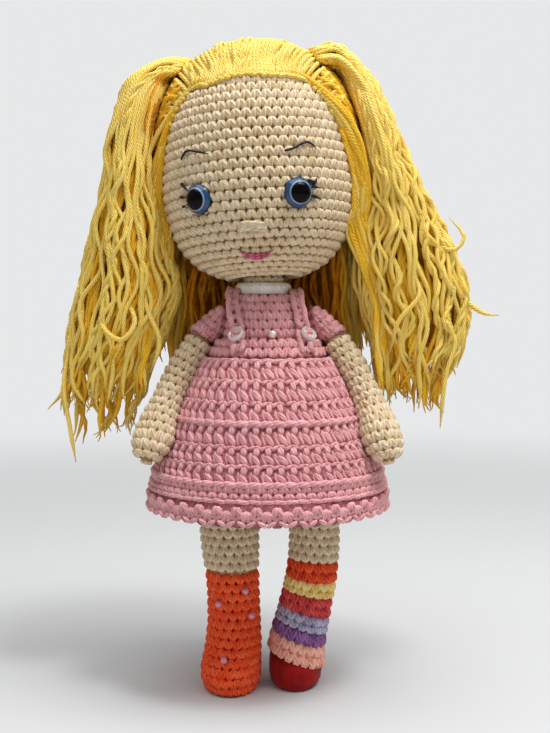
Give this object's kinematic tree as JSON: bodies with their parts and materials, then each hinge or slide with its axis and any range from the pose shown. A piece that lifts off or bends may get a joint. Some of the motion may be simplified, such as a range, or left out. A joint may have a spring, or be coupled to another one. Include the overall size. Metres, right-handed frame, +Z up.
{
  "type": "crocheted doll",
  "caption": "Crocheted yarn doll with long loose hair, a pinafore dress and odd socks, standing, with a turning head and swinging arms and legs.",
  "frame": {"origin": "middle of the object's box, on the floor under the soles", "axes": "+Z up, -Y the way the doll faces, +X to the right of someone who faces the doll"},
  "size_m": [0.18, 0.1038, 0.2823],
  "materials": {
    "skin_yarn": "cream cotton yarn in single crochet",
    "pink_yarn": "dusty pink cotton yarn",
    "white_yarn": "off-white cotton yarn",
    "hair_yarn": "bright yellow two-ply yarn, loose and wavy",
    "stuffing": "white fibre fill",
    "black_thread": "black embroidery thread",
    "rose_thread": "rose embroidery thread in satin stitch",
    "eye_plastic": "glossy blue iris with a black pupil",
    "washer_plastic": "plain white moulding",
    "button_plastic": "clear whitish pearly plastic",
    "pearl": "pearly bead",
    "bead_plastic": "translucent pink bead",
    "orange_yarn": "red-orange cotton yarn",
    "dark_red_yarn": "dark red cotton yarn",
    "peach_yarn": "peach cotton yarn",
    "purple_yarn": "purple cotton yarn",
    "blue_yarn": "grey-blue cotton yarn",
    "raspberry_yarn": "raspberry cotton yarn",
    "yellow_yarn": "pale yellow cotton yarn",
    "vermilion_yarn": "vermilion cotton yarn"
  },
  "bodies": {
    "torso": {"torso_lower": "skin_yarn", "torso_top": "pink_yarn", "torso_stuffing": "stuffing", "collar": "white_yarn", "dress_waistband": "pink_yarn", "dress_skirt": "pink_yarn", "dress_edging": "pink_yarn", "strap_left": "pink_yarn", "strap_right": "pink_yarn", "button_left": "button_plastic", "button_right": "button_plastic", "button_thread_left": "pink_yarn", "button_thread_right": "pink_yarn", "bib_bead": "pearl"},
    "neck": {"neck": "skin_yarn"},
    "head": {"head": "skin_yarn", "head_stuffing": "stuffing", "eye_left": "eye_plastic", "eye_right": "eye_plastic", "eye_washer_left": "washer_plastic", "eye_washer_right": "washer_plastic", "brow_left": "black_thread", "brow_right": "black_thread", "lashes_left": "black_thread", "lashes_right": "black_thread", "nose": "skin_yarn", "mouth": "rose_thread", "hair_cap": "hair_yarn", "hair_left": "hair_yarn", "hair_right": "hair_yarn", "hair_back_1": "hair_yarn", "hair_back_2": "hair_yarn", "hair_back_3": "hair_yarn", "hair_back_4": "hair_yarn", "hair_back_5": "hair_yarn"},
    "arm_left": {"sleeve_left": "pink_yarn", "arm_left": "skin_yarn", "arm_stuffing_left": "stuffing"},
    "arm_right": {"sleeve_right": "pink_yarn", "arm_right": "skin_yarn", "arm_stuffing_right": "stuffing"},
    "leg_left": {"leg_left": "skin_yarn", "sock_left": "orange_yarn", "leg_stuffing_left": "stuffing", "sock_bead_1": "bead_plastic", "sock_bead_2": "bead_plastic", "sock_bead_3": "bead_plastic", "sock_bead_4": "bead_plastic"},
    "leg_right": {"leg_right": "skin_yarn", "leg_stuffing_right": "stuffing", "sock_right_orange": "vermilion_yarn", "sock_right_yellow": "yellow_yarn", "sock_right_raspberry": "raspberry_yarn", "sock_right_blue": "blue_yarn", "sock_right_purple": "purple_yarn", "sock_right_peach": "peach_yarn", "sock_right_toe": "dark_red_yarn"}
  },
  "joints": [
    {"name": "head_turn", "type": "hinge", "parent": "torso", "child": "neck", "pos_m": [-0.002, 0, 0.183], "axis": [0, 0, 1], "range_deg": [-10, 10]},
    {"name": "head_nod", "type": "hinge", "parent": "neck", "child": "head", "pos_m": [-0.002, 0, 0.183], "axis": [0.9944, -0.087, 0.0593], "range_deg": [0, 8]},
    {"name": "arm_left_swing", "type": "hinge", "parent": "torso", "child": "arm_left", "pos_m": [-0.0176, 0, 0.163], "axis": [-1, 0, 0], "range_deg": [0, 90]},
    {"name": "arm_right_swing", "type": "hinge", "parent": "torso", "child": "arm_right", "pos_m": [0.0176, 0, 0.163], "axis": [-1, 0, 0], "range_deg": [0, 90]},
    {"name": "leg_left_swing", "type": "hinge", "parent": "torso", "child": "leg_left", "pos_m": [-0.018, 0, 0.098], "axis": [-1, 0, 0], "range_deg": [-20, 40]},
    {"name": "leg_right_swing", "type": "hinge", "parent": "torso", "child": "leg_right", "pos_m": [0.018, 0, 0.098], "axis": [-1, 0, 0], "range_deg": [-20, 40]}
  ]
}
